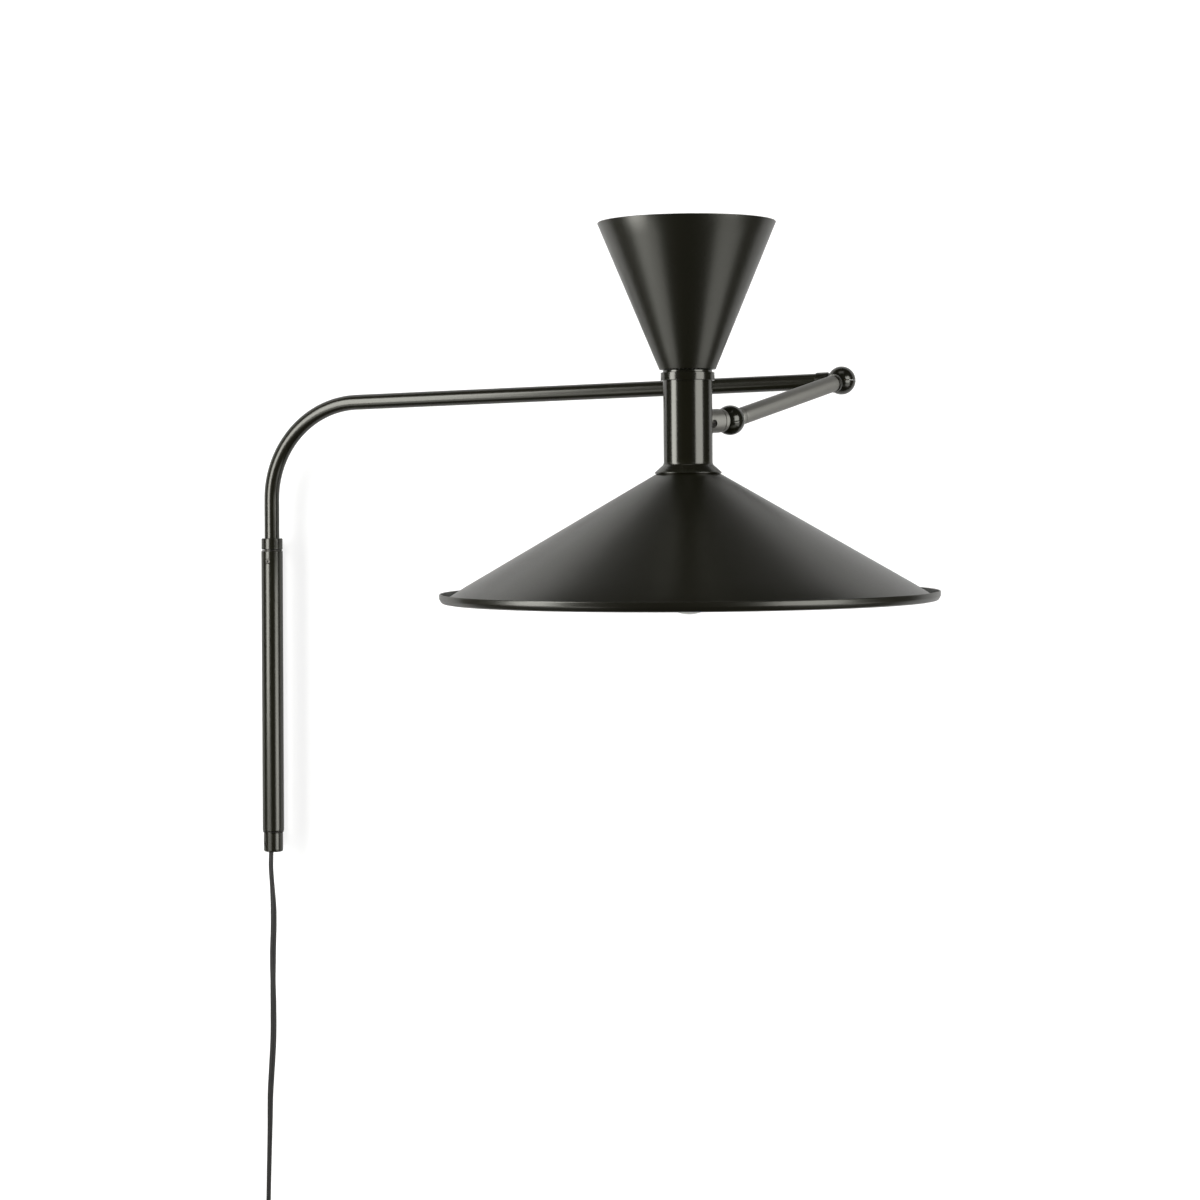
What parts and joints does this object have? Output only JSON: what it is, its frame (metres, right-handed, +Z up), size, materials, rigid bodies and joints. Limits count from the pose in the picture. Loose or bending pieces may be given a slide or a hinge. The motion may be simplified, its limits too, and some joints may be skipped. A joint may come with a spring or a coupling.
{
  "type": "swing arm wall sconce",
  "caption": "Wall lamp with a bent swinging arm, a short jointed fore arm and a turning head: wide conical shade below, small open cone above, plug-in cord.",
  "frame": {"origin": "centre of the wall plate's back face, on the wall", "axes": "+Z up along the wall, +Y into the wall, +X to the right for someone facing the wall; the lamp stands out along -Y"},
  "size_m": [0.4578, 0.4579, 0.8549],
  "materials": {
    "satin_black_paint": "satin",
    "gloss_black_paint": "gloss",
    "painted_aluminium": "satin",
    "steel": "satin",
    "brass": "satin",
    "black_plastic": "matte",
    "holder_plastic": "satin",
    "bulb_cap_metal": "satin",
    "opal_glass": "satin",
    "cord_sheath": "satin"
  },
  "bodies": {
    "wall_bracket": {"wall_plate": "satin_black_paint", "upper_bracket": "satin_black_paint", "lower_bracket": "satin_black_paint", "upper_stem_bolt": "steel", "lower_stem_bolt": "steel", "cord_grub_screw": "steel", "upper_washer": "steel", "lower_washer": "steel", "cord_gland": "black_plastic", "mains_cord": "cord_sheath", "cord_coil": "cord_sheath", "cord_tie": "black_plastic", "cord_tail": "cord_sheath", "plug_body": "black_plastic", "plug_pin_left": "steel", "plug_pin_right": "steel"},
    "swing_arm": {"wall_tube": "satin_black_paint", "tube_set_screw": "steel", "arm_tube": "satin_black_paint", "arm_lead": "cord_sheath", "arm_end_ferrule": "satin_black_paint", "elbow_yoke": "steel"},
    "elbow_ball": {"elbow_ball_upper": "gloss_black_paint", "elbow_ball_lower": "gloss_black_paint", "elbow_barrel": "brass", "elbow_cross_pin": "steel"},
    "fore_arm": {"elbow_stud": "steel", "fore_arm_ring": "satin_black_paint", "fore_arm_tube": "satin_black_paint", "fore_arm_lead": "cord_sheath", "fore_arm_end_ferrule": "satin_black_paint", "head_yoke": "steel"},
    "head_ball": {"head_ball_upper": "gloss_black_paint", "head_ball_lower": "gloss_black_paint", "head_barrel": "brass", "head_cross_pin": "steel"},
    "head_pivot": {"head_stud": "steel", "stub_ring": "satin_black_paint"},
    "head": {"head_stub": "satin_black_paint", "stub_screw": "steel", "neck_tube": "gloss_black_paint", "neck_ring": "satin_black_paint", "terminal_block": "holder_plastic", "shade_flange": "satin_black_paint", "lower_shade": "painted_aluminium", "upper_cone": "painted_aluminium", "lower_lampholder": "holder_plastic", "lower_bulb_cap": "bulb_cap_metal", "lower_bulb_glass": "opal_glass", "upper_lampholder": "holder_plastic", "upper_bulb_cap": "bulb_cap_metal", "upper_bulb_glass": "opal_glass", "shade_ring_nut": "holder_plastic", "cone_ring_nut": "holder_plastic"}
  },
  "joints": [
    {"name": "wall_swing", "type": "hinge", "parent": "wall_bracket", "child": "swing_arm", "pos_m": [0, -0.02, 0], "axis": [0, 0, 1], "range_deg": [-154, 16]},
    {"name": "elbow_swivel", "type": "hinge", "parent": "swing_arm", "child": "elbow_ball", "pos_m": [0.3997, -0.1639, 0.22081], "axis": [-0.0279, 0.01, 0.9996], "range_deg": [-4, 143]},
    {"name": "elbow_tilt", "type": "hinge", "parent": "elbow_ball", "child": "fore_arm", "pos_m": [0.3997, -0.1639, 0.22081], "axis": [0.8051, -0.5925, 0.0284], "range_deg": [-15, 15]},
    {"name": "head_swivel", "type": "hinge", "parent": "fore_arm", "child": "head_ball", "pos_m": [0.31978, -0.27389, 0.19141], "axis": [-0.1242, -0.171, 0.9774], "range_deg": [-40, 60]},
    {"name": "head_tilt", "type": "hinge", "parent": "head_ball", "child": "head_pivot", "pos_m": [0.31978, -0.27389, 0.19141], "axis": [0.7261, -0.6871, -0.0279], "range_deg": [-20, 22]},
    {"name": "head_roll", "type": "hinge", "parent": "head_pivot", "child": "head", "pos_m": [0.31978, -0.27389, 0.19141], "axis": [-0.6875, -0.7244, -0.0506], "range_deg": [-15, 25]}
  ]
}
